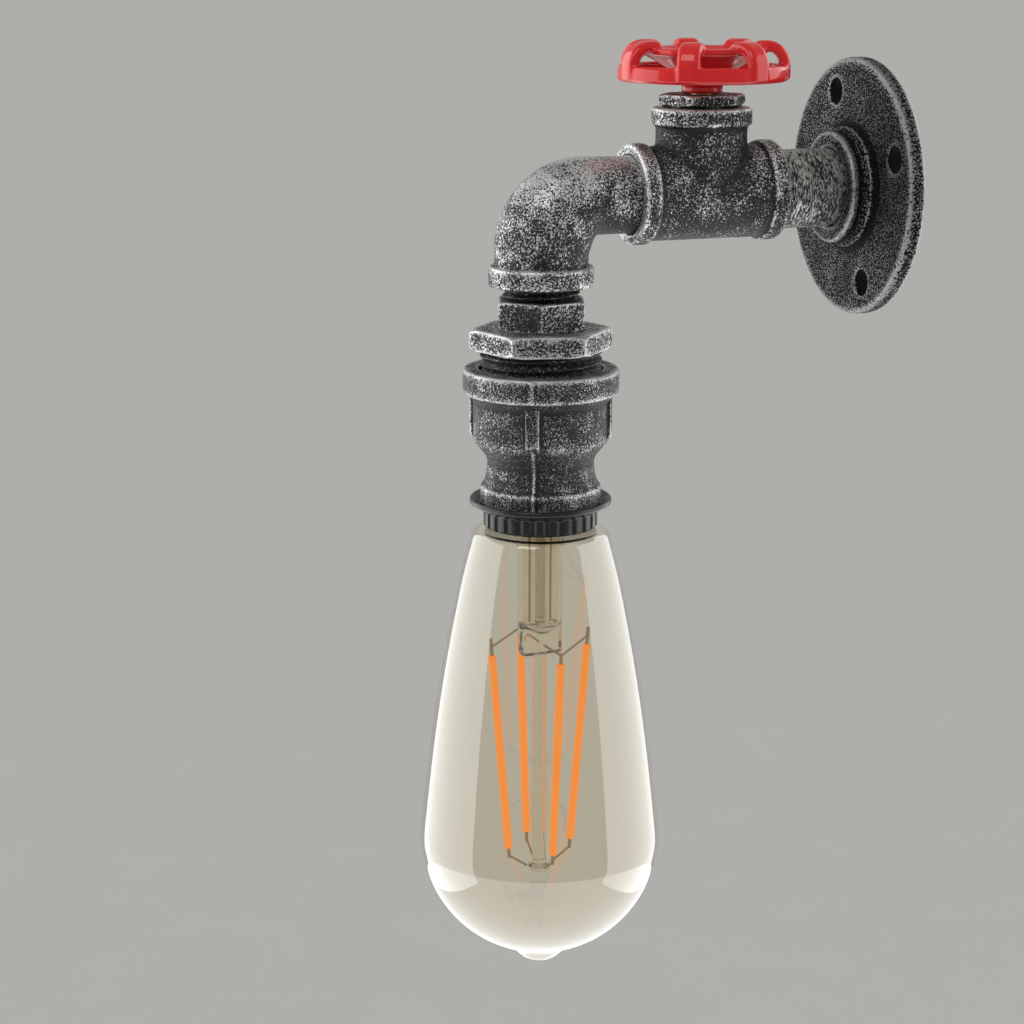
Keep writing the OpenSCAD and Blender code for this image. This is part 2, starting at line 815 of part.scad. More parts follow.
// Two screws, one on each side of the wires, in the top of the insert
module terminal_screws() {
    color(brass)
        for (s = [-1, 1])
            at_lamp(insert_z + insert_t)
                translate([0, s * 6, 0])
                    difference() {
                        cylinder(h = 1.8, d = 3.6);
                        translate([-2, -0.3, 1.1])
                            cube([4, 0.6, 1]);
                    }
}

// Pieces that turn with the wheel

module valve_stem() {
    top = hub_top_z - 0.4;
    color(brass)
        at_branch()
            difference() {
                translate([0, 0, stem_low_end])
                    cylinder(h = top - stem_low_end, r = stem_r);
                translate([0, 0, top - 6])
                    cylinder(h = 10, r = stem_r * 0.5 + thread_gap);
            }
}

// One arched rib: an upright on the skirt, a quarter ring, a flat crest and a fall to the inner ring
module wheel_arch() {
    half = wheel_rib_w / 2;
    soft = min(1.3, half * 0.6);
    proud = 0.35;
    fall = wheel_rib_t + 0.1;
    crest = skirt_h + rib_arc_r;
    translate([rib_arc_c, 0, skirt_h])
        rotate([90, 0, 0])
            rotate_extrude(angle = 90)
                polygon(rib_outline(rib_arc_r - wheel_rib_t, rib_arc_r + proud, half, soft));
    translate([rib_arc_c, 0, 0.6])
        linear_extrude(height = skirt_h - 0.6)
            polygon(rib_outline(rib_arc_r - wheel_rib_t, rib_arc_r + proud, half, soft));
    translate([rib_arc_c, 0, crest])
        rotate([0, -90, 0])
            linear_extrude(height = rib_flat)
                polygon(rib_outline(-wheel_rib_t, proud, half, soft));
    translate([rib_arc_c - rib_flat, 0, crest - fall])
        rotate([90, -90, 0])
            rotate_extrude(angle = 75)
                polygon(rib_outline(fall - wheel_rib_t, fall + proud, half, soft));
}

// Section of a rib: flat inside, rounded outside
function rib_outline(r0, r1, half, soft) = concat(
    [[r0, -half]],
    arc(r1 - soft, -half + soft, soft, -90, 0, 4),
    arc(r1 - soft, half - soft, soft, 0, 90, 4),
    [[r0, half]]);

module handwheel() {
    ring_r = rib_arc_c - rib_flat;
    ring_low = wheel_h - wheel_rib_t - 0.6;
    hub_h = hub_top_z - wheel_z;
    color(red)
        difference() {
            union() {
                at_branch(wheel_z)
                    turned([[wheel_r - skirt_wall, 0], [wheel_r - edge, 0], [wheel_r, edge],
                        [wheel_r - 0.3, skirt_h - 0.5], [wheel_r - 0.8, skirt_h],
                        [wheel_r - skirt_wall, skirt_h]]);
                at_branch(wheel_z)
                    turned([[0, -wheel_neck_h], [wheel_neck_d / 2 - 0.4, -wheel_neck_h],
                        [wheel_neck_d / 2 - 0.6, -wheel_neck_h / 2], [wheel_neck_d / 2 + 0.4, 0.6],
                        [wheel_neck_d / 2 + 1.2, 2.2], [ring_r - 1.6, ring_low - 1.2],
                        [ring_r + 1.2, ring_low],
                        [ring_r + 1.2, ring_low + 1.7], [ring_r - 1.6, ring_low + 1.7],
                        [wheel_neck_d / 2, hub_h], [0, hub_h]]);
                for (i = [0:wheel_ribs - 1])
                    at_branch(wheel_z)
                        rotate(wheel_turn + 360 * i / wheel_ribs)
                            wheel_arch();
            }
            at_branch(wheel_neck_z - 1)
                cylinder(h = 40, r = stem_r + thread_gap);
        }
}

module wheel_screw() {
    head_r = stem_r + 0.5;
    color(steel)
        at_branch(hub_top_z)
            difference() {
                union() {
                    turned(concat([[0, 0], [head_r, 0]], swell([head_r, 0.8], [0, 2.2], 6)));
                    translate([0, 0, -5])
                        cylinder(h = 5.2, r = stem_r * 0.5);
                }
                for (a = [0, 90])
                    rotate(a)
                        translate([-1.6, -0.35, 1.2])
                            cube([3.2, 0.7, 2]);
            }
}

// A round rotor with a brass-width bridge that reaches the leaves
module switch_rotor() {
    bridge_r = switch_r - switch_wall - 0.8 - run_gap;
    color(porcelain)
        at_branch(rotor_z)
            difference() {
                intersection() {
                    cylinder(h = rotor_h, r = bridge_r);
                    union() {
                        cylinder(h = rotor_h, r = rotor_r);
                        translate([-bridge_r, -1.6, 0])
                            cube([2 * bridge_r, 3.2, rotor_h]);
                    }
                }
                translate([0, 0, -1])
                    cylinder(h = rotor_h + 2, r = stem_r + thread_gap);
            }
}

// The bulb

module cap_contact() {
    color(brass)
        at_lamp(cap_top_z + insulator_h)
            turned(concat([[0, 0], [2.4, 0]], swell([2.4, 0.3], [0, button_t], 5)));
}

module cap_insulator() {
    color(black)
        at_lamp(cap_top_z)
            turned([[0, 0], [cap_r - 1.2, 0], [insulator_top_r, insulator_h], [0, insulator_h]]);
}

module screw_cap() {
    inner_r = cap_r - cap_wall;
    color(steel)
        at_lamp()
            turned([[inner_r, cap_flare_z], [cap_r + 0.3, cap_flare_z], [cap_r + 0.3, cap_flare_z + 0.5],
                [cap_r, cap_flare_z + 0.8], [cap_r, cap_top_z - 1.2], [cap_r - 1.2, cap_top_z],
                [cap_r - 2.2, cap_top_z], [inner_r, cap_top_z - 1.2 - cap_wall]]);
}

module led_driver() {
    board_w = 2 * (cap_r - cap_wall - 0.3);
    low = neck_top_z + 0.6;
    color("seagreen")
        at_lamp(low)
            union() {
                translate([-board_w / 2, -0.5, 0])
                    cube([board_w, 1, cap_top_z - 2.2 - low]);
                translate([-board_w / 4, 0.4, 1.4])
                    cube([board_w / 2, 1.7, 3]);
            }
}

// Side line of the bulb: neck, shoulder, long cone, belly, bowl and pip
function bulb_side(inset) =
    let (
        r = bulb_r - inset,
        s = shoulder_r - inset,
        z = shoulder_z - inset,
        low = tip_z + pip_h + inset,
        pip = low - tip_z - 2 * inset
    )
    concat(
        [[neck_r - inset, neck_top_z], [neck_r - inset, shoulder_z + 2],
            [neck_r + 2 - inset, shoulder_z + 0.3 - inset * 0.5]],
        arc(s - 3, z - 3, 3, 86, 12, 5),
        [for (t = [0.3, 0.5, 0.68, 0.82, 0.92])
            [s + (r - s) * (t + 0.11 * sin(180 * t)), z - belly_drop * t]],
        [for (i = [0:9]) let (a = 8 * i) [r * cos(a), belly_z - (belly_z - low) * sin(a) / sin(72)]],
        [[r * 0.24, low - pip * 0.26], [r * 0.19, low - pip * 0.54], [r * 0.13, low - pip * 0.82]]);

module bulb_glass() {
    color(glass)
        at_lamp()
            difference() {
                turned(concat([[0, neck_top_z]], bulb_side(0), [[0, tip_z]]));
                turned(concat([[0, neck_top_z + 1], [neck_r - glass_wall, neck_top_z + 1]],
                    bulb_side(glass_wall), [[0, tip_z + 2 * glass_wall]]));
            }
}

module glass_stem() {
    r = stem_tube_d / 2;
    lip_r = neck_r + 2 - glass_wall - 0.5;
    color(glass)
        at_lamp()
            difference() {
                union() {
                    turned([[0, stem_low_z], [r, stem_low_z], [r, shoulder_z - 6],
                        [lip_r, shoulder_z - 0.6], [0, shoulder_z - 0.6]]);
                    translate([0, 0, pinch_z])
                        rotate(filament_turn)
                            intersection() {
                                cylinder(h = pinch_len + relief, r = r - 0.1);
                                translate([-pinch_t / 2, -r, 0])
                                    cube([pinch_t, 2 * r, pinch_len + relief]);
                            }
                    translate([0, 0, stem_low_z - pinch_len * 0.3])
                        cylinder(h = pinch_len * 0.3 + 0.1, r1 = pinch_t / 2 + 0.2, r2 = r - 0.2);
                }
                translate([0, 0, stem_low_z])
                    cylinder(h = shoulder_z - stem_low_z, r = r - stem_wall);
            }
}

module exhaust_tube() {
    tube_len = neck_top_z - stem_low_z - relief;
    color(glass)
        at_lamp(stem_low_z)
            difference() {
                cylinder(h = tube_len, d = exhaust_d);
                translate([0, 0, stem_wall])
                    cylinder(h = tube_len, d = exhaust_bore_d);
            }
}

module support_rod() {
    color(glass)
        at_lamp()
            turned(concat(
                [[0, button_z - rod_button_h], [rod_button_d / 2 - 0.8, button_z - rod_button_h]],
                arc(rod_button_d / 2 - 0.8, button_z - rod_button_h / 2, 0.8, -60, 60, 4),
                [[rod_d / 2, button_z], [rod_d / 2, pinch_z], [0, pinch_z]]));
}

function filament_top(i) =
    let (a = filament_turn + 90 * i)
    [filament_top_r * cos(a), filament_top_r * sin(a) - lamp_out, filament_top_z];

function filament_foot(i) =
    let (a = filament_turn + 90 * i)
    [filament_foot_r * cos(a), filament_foot_r * sin(a) - lamp_out, filament_foot_z];

module led_filaments() {
    color(amber)
        for (i = [0:3])
            wire(filament_foot(i), filament_top(i), filament_d);
}

// A pin at each end of every filament, in line with it
module filament_pins() {
    color(brass)
        for (i = [0:3]) {
            run = unit(filament_top(i) - filament_foot(i));
            wire(filament_top(i), filament_top(i) + run * pin_len * (i % 2 == 1 ? 2 : 1.2), wire_d * 1.6);
            wire(filament_foot(i) - run * pin_len * 1.2, filament_foot(i), wire_d * 1.6);
        }
}

// A thin wire between two points that stops a little short of both
module strut(p, q, short = 0.6) {
    run = unit(q - p);
    wire(p + run * short, q - run * short, wire_d);
}

// Wires in the stem, out of its pinch to two of the pins, and from those across to the other two
module lead_wires() {
    inner_r = stem_tube_d / 4;
    face_r = pinch_t / 2;
    color(brass)
        for (i = [0, 2]) {
            a = filament_turn + 90 * i;
            side_a = a + 90;
            tip = filament_top(i) + unit(filament_top(i) - filament_foot(i)) * pin_len;
            next = filament_top(i + 1) + unit(filament_top(i + 1) - filament_foot(i + 1)) * pin_len;
            strut([face_r * cos(a), face_r * sin(a) - lamp_out, pinch_z + pinch_len / 3], tip);
            strut(tip, next);
            wire([inner_r * cos(side_a), inner_r * sin(side_a) - lamp_out, stem_low_z + relief],
                [inner_r * cos(side_a), inner_r * sin(side_a) - lamp_out, neck_top_z], wire_d);
        }
}

// Wires from the glass button out to the pins under the filaments
module foot_wires() {
    button_r = rod_button_d / 2;
    color(brass)
        for (i = [0:3]) {
            a = filament_turn + 90 * i;
            tip = filament_foot(i) - unit(filament_top(i) - filament_foot(i)) * pin_len;
            strut([button_r * cos(a), button_r * sin(a) - lamp_out, button_z - rod_button_h / 2],
                tip, 0.65);
        }
}

wall_flange();
arm_nipple();
pipe_tee();
gland_nut();
street_elbow();
hex_nipple();
reducing_bush();
reducing_socket();
shade_ring();
switch_housing();
switch_contacts();
live_feed_wire();
live_lamp_wire();
neutral_wire();
holder_tube();
holder_locknut();
holder_washer();
holder_dome();
holder_insert();
holder_sleeve();
screw_shell();
centre_contact();
terminal_screws();
valve_stem();
handwheel();
wheel_screw();
switch_rotor();
cap_contact();
screw_cap();
cap_insulator();
led_driver();
bulb_glass();
glass_stem();
exhaust_tube();
support_rod();
led_filaments();
filament_pins();
lead_wires();
foot_wires();
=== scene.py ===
"""Looks of the pipe wall light: cast fittings, enamelled wheel, tinted bulb, studio."""
import math

import bpy
import numpy as np
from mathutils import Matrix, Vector


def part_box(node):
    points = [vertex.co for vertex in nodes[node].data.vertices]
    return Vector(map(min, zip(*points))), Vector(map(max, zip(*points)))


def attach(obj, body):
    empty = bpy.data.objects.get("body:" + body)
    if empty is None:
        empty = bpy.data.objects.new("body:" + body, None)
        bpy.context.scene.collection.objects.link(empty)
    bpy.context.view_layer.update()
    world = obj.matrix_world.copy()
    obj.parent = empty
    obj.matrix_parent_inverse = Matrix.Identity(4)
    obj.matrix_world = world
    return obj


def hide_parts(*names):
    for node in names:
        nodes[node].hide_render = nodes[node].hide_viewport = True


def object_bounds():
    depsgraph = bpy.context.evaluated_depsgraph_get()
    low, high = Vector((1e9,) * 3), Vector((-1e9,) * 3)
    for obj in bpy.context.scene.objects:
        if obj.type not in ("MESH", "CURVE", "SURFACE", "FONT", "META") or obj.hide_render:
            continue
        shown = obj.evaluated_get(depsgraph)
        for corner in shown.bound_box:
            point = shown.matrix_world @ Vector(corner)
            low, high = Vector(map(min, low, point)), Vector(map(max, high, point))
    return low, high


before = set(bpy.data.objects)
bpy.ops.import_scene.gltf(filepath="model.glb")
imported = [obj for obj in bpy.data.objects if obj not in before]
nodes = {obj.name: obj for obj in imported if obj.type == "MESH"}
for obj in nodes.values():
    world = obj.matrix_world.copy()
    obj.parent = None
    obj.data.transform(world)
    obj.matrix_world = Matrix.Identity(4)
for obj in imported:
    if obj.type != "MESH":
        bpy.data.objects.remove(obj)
cad_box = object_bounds()

MM = 0.001
MERGE_DISTANCE = 1e-6
ROUND_STEPS = 72

# Wear marks: smoothing passes, height at which a mark starts, and height from there to its full strength
EDGE_PASSES, EDGE_START, EDGE_SPAN = 24, 0.05 * MM, 0.28 * MM
SWELL_PASSES, SWELL_START, SWELL_SPAN = 160, 0.30 * MM, 0.60 * MM

# Places read from the frame
tee_low, tee_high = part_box("pipe_tee")
socket_low, socket_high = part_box("reducing_socket")
_, bush_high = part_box("reducing_bush")
elbow_low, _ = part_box("street_elbow")
gland_low, gland_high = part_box("gland_nut")
glass_low, glass_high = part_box("bulb_glass")
rod_low, rod_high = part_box("support_rod")
lamp_y = (glass_low.y + glass_high.y) / 2
wheel_y = (gland_low.y + gland_high.y) / 2


# Hand tools

def pick(obj):
    """Makes obj the only selected and the active object."""
    bpy.ops.object.select_all(action="DESELECT")
    obj.select_set(True)
    bpy.context.view_layer.objects.active = obj


def edit_all(obj):
    """Opens obj in edit mode with all of it selected."""
    pick(obj)
    bpy.ops.object.mode_set(mode="EDIT")
    bpy.ops.mesh.select_all(action="SELECT")


def leave():
    """Goes back to object mode."""
    bpy.ops.object.mode_set(mode="OBJECT")


def finish_with(obj, kind, **settings):
    """Adds a modifier of that kind to obj and applies it."""
    step = obj.modifiers.new(kind.lower(), kind)
    for name, value in settings.items():
        setattr(step, name, value)
    pick(obj)
    bpy.ops.object.modifier_apply(modifier=step.name)


def settle(obj):
    """Puts obj's place, turn and size into its mesh."""
    pick(obj)
    bpy.ops.object.transform_apply(location=True, rotation=True, scale=True)


def smooth(obj, angle=None):
    """Shades obj smooth, everywhere or up to an angle in degrees."""
    pick(obj)
    if angle is None:
        bpy.ops.object.shade_smooth()
    else:
        bpy.ops.object.shade_smooth_by_angle(angle=math.radians(angle))


def dress(obj, material):
    """Gives obj one material."""
    obj.data.materials.clear()
    obj.data.materials.append(material)


def keep(obj, material, body, slot, *replaced):
    """Gives a finished piece its material and its body, and hides the CAD nodes it stands for; the slot is
    not used.
    """
    dress(obj, material)
    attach(obj, body)
    if replaced:
        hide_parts(*replaced)
    return obj


def merged_copy(node, name):
    """A copy of a CAD node with its loose triangles joined."""
    obj = bpy.data.objects.new(name, nodes[node].data.copy())
    bpy.context.scene.collection.objects.link(obj)
    edit_all(obj)
    bpy.ops.mesh.remove_doubles(threshold=MERGE_DISTANCE)
    leave()
    return obj


def even_mesh(obj, grain):
    """Rebuilds obj's skin with faces of about one size."""
    finish_with(obj, "REMESH", mode="VOXEL", voxel_size=grain, adaptivity=0)


def wear_down(obj, passes, **only):
    """Softens obj's arrises."""
    finish_with(obj, "SMOOTH", factor=0.5, iterations=passes, **only)


def softened(node, name, grain, passes):
    """A CAD node as an even mesh with soft arrises."""
    obj = merged_copy(node, name)
    even_mesh(obj, grain)
    wear_down(obj, passes)
    smooth(obj)
    return obj


def lump(obj, depth, middle):
    """Adds the shallow lumps that sand leaves; a high middle keeps them inside the skin."""
    finish_with(obj, "DISPLACE", texture=sand, strength=depth, mid_level=middle, texture_coords="LOCAL")


def coordinates(mesh):
    """The mesh's points as rows."""
    flat = np.zeros(len(mesh.vertices) * 3)
    mesh.vertices.foreach_get("co", flat)
    return flat.reshape(-1, 3)


def directions(mesh):
    """The normals at the mesh's points as rows."""
    flat = np.zeros(len(mesh.vertices) * 3)
    mesh.vertex_normals.foreach_get("vector", flat)
    return flat.reshape(-1, 3)


def store(obj, name, values):
    """Stores one value for each point of obj, held between -1 and 1."""
    layer = obj.data.attributes.new(name, "FLOAT", "POINT")
    layer.data.foreach_set("value", np.clip(values, -1, 1).astype(np.float32))


def proud_of(obj, normals, passes):
    """How far each point stands proud of the same piece smoothed by that many passes."""
    worn = bpy.data.objects.new(obj.name + "_worn", obj.data.copy())
    bpy.context.scene.collection.objects.link(worn)
    wear_down(worn, passes)
    gain = ((coordinates(obj.data) - coordinates(worn.data)) * normals).sum(axis=1)
    bpy.data.objects.remove(worn)
    return gain


def mark_wear_and_top_light(obj):
    """Stores where a rubbing hand reaches, arrises as edge and swellings as swell, and stores the upper
    sides as up, which lifts the silver on top as painted top light.
    """
    normals = directions(obj.data)
    store(obj, "edge", (proud_of(obj, normals, EDGE_PASSES) - EDGE_START) / EDGE_SPAN)
    store(obj, "swell", (proud_of(obj, normals, SWELL_PASSES) - SWELL_START) / SWELL_SPAN)
    # Upward facing as up: painted top light, more silver on upper sides and less underneath
    store(obj, "up", normals[:, 2])


def loosen(obj, chosen, passes):
    """Smooths only the points for which chosen(place) holds."""
    group = obj.vertex_groups.new(name="loose")
    picked = [v.index for v in obj.data.vertices if chosen(v.co)]
    group.add(picked, 1.0, "REPLACE")
    wear_down(obj, passes, vertex_group="loose")
    obj.vertex_groups.clear()


def casting(node, name, grain, soften=5, lumps=0.12 * MM, loose=None, passes=30, added=()):
    """A CAD node, with any added pieces, as a rough casting: soft arrises, wear marks with painted top
    light, and shallow lumps.
    """
    obj = merged_copy(node, name)
    if added:
        pick(obj)
        for piece in added:
            piece.select_set(True)
        bpy.ops.object.join()
    even_mesh(obj, grain)
    if loose:
        loosen(obj, loose, passes)
    wear_down(obj, soften)
    mark_wear_and_top_light(obj)
    if lumps:
        lump(obj, lumps, 0.9)
    smooth(obj)
    return obj


def drawn_line(name, line):
    """A chain of points drawn out from one corner, as a new object that is left in edit mode."""
    bpy.ops.object.select_all(action="DESELECT")
    bpy.ops.mesh.primitive_plane_add(size=MM, location=(0, 0, 0))
    obj = bpy.context.object
    obj.name = name
    bpy.ops.object.mode_set(mode="EDIT")
    bpy.ops.mesh.select_all(action="SELECT")
    bpy.ops.mesh.merge(type="CENTER")
    bpy.ops.transform.translate(value=(line[0][0], 0, line[0][1]))
    for before, after in zip(line, line[1:]):
        move = (after[0] - before[0], 0, after[1] - before[1])
        bpy.ops.mesh.extrude_region_move(TRANSFORM_OT_translate={"value": move})
    return obj


def lathe(name, line, steps=64, place=(0, 0), close=True):
    """A turned piece: a drawn line spun about the upright axis."""
    obj = drawn_line(name, line)
    bpy.ops.mesh.select_all(action="SELECT")
    bpy.ops.mesh.spin(steps=steps, angle=2 * math.pi, center=(0, 0, 0), axis=(0, 0, 1))
    bpy.ops.mesh.select_all(action="SELECT")
    bpy.ops.mesh.remove_doubles(threshold=MERGE_DISTANCE)
    if close:
        bpy.ops.mesh.fill_holes(sides=0)
        bpy.ops.mesh.select_all(action="SELECT")
    bpy.ops.mesh.normals_make_consistent(inside=False)
    leave()
    obj.location = (place[0], place[1], 0)
    settle(obj)
    return obj


def thread(name, radius, deep, pitch, low, high, place, rolled=False):
    """A screw thread: one tooth of its side line, cut or rolled, wound up the axis by the Screw modifier."""
    root, crest = radius - deep, radius - deep * 0.12
    tooth = [(root, 0), (crest, pitch * 0.42), (crest, pitch * 0.58), (root, pitch)]
    if rolled:
        tooth = [(radius - deep * (1 + math.cos(math.pi * step / 4)) / 2, pitch * step / 8)
                 for step in range(9)]
    obj = drawn_line(name, tooth)
    leave()
    turns = max(1, math.ceil((high - low) / pitch) - 1)
    finish_with(obj, "SCREW", axis="Z", angle=2 * math.pi, screw_offset=pitch, iterations=turns,
                steps=ROUND_STEPS, render_steps=ROUND_STEPS, use_merge_vertices=True,
                merge_threshold=MERGE_DISTANCE)
    edit_all(obj)
    bpy.ops.mesh.remove_doubles(threshold=2 * MERGE_DISTANCE)
    bpy.ops.mesh.fill_holes(sides=0)
    bpy.ops.mesh.select_all(action="SELECT")
    bpy.ops.mesh.normals_make_consistent(inside=False)
    leave()
    obj.location = (place[0], place[1], low)
    settle(obj)
    smooth(obj, 40)
    return obj


# Materials

def material(name):
    """A new material with a plain shader."""
    made = bpy.data.materials.new(name)
    made.use_nodes = True
    return made


def shader(made):
    """The material's own shader."""
    return made.node_tree.nodes["Principled BSDF"]


def add(made, kind, inputs=None, **settings):
    """Adds a node; each input is linked if it is a socket and set if it is a value."""
    new = made.node_tree.nodes.new(kind)
    for name, value in settings.items():
        setattr(new, name, value)
    for socket, value in (inputs or {}).items():
        if isinstance(value, bpy.types.NodeSocket):
            made.node_tree.links.new(value, new.inputs[socket])
        else:
            new.inputs[socket].default_value = value
    return new


def drive(made, socket, source):
    """Links a node's output to a socket of the shader."""
    made.node_tree.links.new(source, shader(made).inputs[socket])


def object_place(made):
    """The place on the object."""
    return add(made, "ShaderNodeTexCoord").outputs["Object"]


def noise(made, place, scale, detail=4.0, rough=0.6):
    """Cloudy noise about 0.5."""
    return add(made, "ShaderNodeTexNoise", {"Vector": place, "Scale": scale, "Detail": detail,
                                            "Roughness": rough}).outputs["Fac"]


def sums(made, operation, a, b, c=0.0):
    """One step of arithmetic."""
    return add(made, "ShaderNodeMath", {0: a, 1: b, 2: c}, operation=operation).outputs[0]


def remap(made, value, low, high, to_low=0.0, to_high=1.0):
    """A soft step from to_low to to_high."""
    return add(made, "ShaderNodeMapRange", {"Value": value, "From Min": low, "From Max": high,
                                            "To Min": to_low, "To Max": to_high},
               interpolation_type="SMOOTHSTEP").outputs["Result"]


def mix(made, factor, a, b):
    """A colour between a and b."""
    return add(made, "ShaderNodeMix", {0: factor, 6: a, 7: b}, data_type="RGBA").outputs[2]


def bump(made, height, strength, distance):
    """Roughens the surface by a height."""
    drive(made, "Normal", add(made, "ShaderNodeBump", {"Height": height, "Strength": strength,
                                                       "Distance": distance}).outputs[0])


def add_wear_and_top_light(made, level, edge_gain, swell_gain, painted_top_light_gain):
    """Adds the stored wear marks to a level, and with up the painted top light that makes upper sides more
    silver.
    """
    # edge and swell are wear; up is painted top light
    for name, gain in (("edge", edge_gain), ("swell", swell_gain), ("up", painted_top_light_gain)):
        mark = add(made, "ShaderNodeAttribute", attribute_name=name).outputs["Fac"]
        level = sums(made, "MULTIPLY_ADD", mark, gain, level)
    return level


def rubbed_iron(name, dark, bright, fleck, cover, edge_gain=0.14, swell_gain=0.06, painted_top_light_gain=0.03, patch=0.08,
                rough=(0.6, 0.38), grain=0.4, stretch=(1, 1, 1)):
    """Black iron rubbed with silver: crisp flecks that thicken on edges and thin out in hollows, with more
    silver on upper sides as painted top light.
    """
    made = material(name)
    place = object_place(made)
    along = add(made, "ShaderNodeMapping", {"Vector": place, "Scale": stretch}).outputs[0]
    fine = noise(made, along, fleck, 4.0, 0.62)
    tiny = noise(made, along, fleck * 2.3, 3.0, 0.6)
    patches = noise(made, place, fleck * 0.09, 3.0, 0.55)
    level = sums(made, "MULTIPLY_ADD", tiny, 0.4, sums(made, "MULTIPLY", fine, 0.6))
    level = sums(made, "MULTIPLY_ADD", sums(made, "SUBTRACT", patches, 0.5), patch * 2, level)
    level = add_wear_and_top_light(made, level, edge_gain, swell_gain, painted_top_light_gain)
    silver = remap(made, level, 0.5 - cover - 0.03, 0.5 - cover + 0.045)
    dull = tuple(c * 0.66 for c in bright)
    tone = mix(made, tiny, (*dull, 1), (*bright, 1))
    drive(made, "Base Color", mix(made, silver, (*dark, 1), tone))
    drive(made, "Metallic", sums(made, "MULTIPLY_ADD", silver, 0.7, 0.05))
    drive(made, "Roughness", remap(made, silver, 0.0, 1.0, rough[0], rough[1]))
    shader(made).inputs["Specular IOR Level"].default_value = 0.3
    bump(made, sums(made, "MULTIPLY_ADD", silver, 0.5, fine), grain, 0.12 * MM)
    return made


def pebbled_iron(name, dark, bright, cell):
    """Iron cast in a grained mould: dark seams between small worn pebbles, rubbed bright on the arrises, a
    little brighter on upper sides as painted top light.
    """
    made = material(name)
    place = object_place(made)
    cells = add(made, "ShaderNodeTexVoronoi", {"Vector": place, "Scale": cell, "Randomness": 0.8},
                feature="F1").outputs["Distance"]
    patches = noise(made, place, cell * 0.08, 3.0, 0.6)
    fine = noise(made, place, cell * 1.8, 3.0, 0.6)
    top = sums(made, "SUBTRACT", 0.6, cells)
    level = sums(made, "MULTIPLY_ADD", sums(made, "SUBTRACT", patches, 0.5), 0.35, top)
    level = sums(made, "MULTIPLY_ADD", sums(made, "SUBTRACT", fine, 0.5), 0.25, level)
    # 0.05 on up: a little painted top light on the flange's upper side
    level = add_wear_and_top_light(made, level, 0.8, 0.0, 0.05)
    worn = remap(made, level, 0.0, 0.3)
    arris = remap(made, add(made, "ShaderNodeAttribute", attribute_name="edge").outputs["Fac"], 0.12, 0.65)
    tone = mix(made, arris, (*(c * 0.42 for c in bright), 1), (*bright, 1))
    drive(made, "Base Color", mix(made, worn, (*dark, 1), tone))
    drive(made, "Metallic", sums(made, "MULTIPLY", worn, 0.6))
    drive(made, "Roughness", remap(made, worn, 0.0, 1.0, 0.7, 0.42))
    shader(made).inputs["Specular IOR Level"].default_value = 0.08
    bump(made, top, 0.8, 0.15 * MM)
    return made


def red_enamel():
    """Gloss red enamel over a slightly clouded coat."""
    made = material("red_enamel")
    place = object_place(made)
    cloud = noise(made, place, 120, 3.0)
    peel = noise(made, place, 900, 2.0, 0.5)
    drive(made, "Base Color", mix(made, cloud, (0.54, 0.002, 0.004, 1), (0.64, 0.004, 0.006, 1)))
    drive(made, "Roughness", remap(made, cloud, 0.3, 0.7, 0.32, 0.42))
    shader(made).inputs["Specular IOR Level"].default_value = 0.2
    shader(made).inputs["Coat Weight"].default_value = 0.6
    shader(made).inputs["Coat Roughness"].default_value = 0.03
    bump(made, peel, 0.12, 0.05 * MM)
    return made


def moulded(name, colour, rough, speck=700, grain=0.1):
    """Plain moulded or glazed stuff with a faint cloud in tone and gloss."""
    made = material(name)
    place = object_place(made)
    cloud = noise(made, place, speck * 0.25, 3.0)
    fine = noise(made, place, speck, 3.0)
    lighter = tuple(min(1.0, c * 1.25 + 0.004) for c in colour)
    drive(made, "Base Color", mix(made, cloud, (*colour, 1), (*lighter, 1)))
    drive(made, "Roughness", remap(made, fine, 0.3, 0.7, rough * 0.85, rough * 1.2))
    shader(made).inputs["Specular IOR Level"].default_value = 0.4
    bump(made, fine, grain, 0.05 * MM)
    return made


def metal(name, colour, rough, drawn=(1, 1, 1)):
    """Bare metal with fine drawn scratches along one axis and a faint stain."""
    made = material(name)
    place = object_place(made)
    along = add(made, "ShaderNodeMapping", {"Vector": place, "Scale": drawn}).outputs[0]
    scratch = noise(made, along, 2200, 4.0, 0.7)
    stain = noise(made, place, 160, 3.0)
    darker = tuple(c * 0.7 for c in colour)
    drive(made, "Base Color", mix(made, stain, (*darker, 1), (*colour, 1)))
    shader(made).inputs["Metallic"].default_value = 1.0
    drive(made, "Roughness", remap(made, scratch, 0.25, 0.75, rough * 0.8, rough * 1.3))
    bump(made, scratch, 0.12, 0.03 * MM)
    return made


def tinted_glass(name, thin, deep, low, high, lustre):
    """Clear glass whose tint deepens towards its foot, with a trace of streak and a bright skin."""
    made = material(name)
    place = object_place(made)
    height = add(made, "ShaderNodeSeparateXYZ", {0: place}).outputs["Z"]
    depth = remap(made, height, high, low)
    streak = noise(made, place, 40, 2.0, 0.5)
    depth = sums(made, "MULTIPLY_ADD", streak, 0.25, sums(made, "MULTIPLY", depth, 0.75))
    drive(made, "Base Color", mix(made, depth, (*thin, 1), (*deep, 1)))
    shader(made).inputs["Transmission Weight"].default_value = 1.0
    shader(made).inputs["Roughness"].default_value = 0.0
    shader(made).inputs["IOR"].default_value = 1.5
    shader(made).inputs["Coat Weight"].default_value = lustre
    shader(made).inputs["Coat Roughness"].default_value = 0.0
    shader(made).inputs["Coat IOR"].default_value = 1.6
    return made


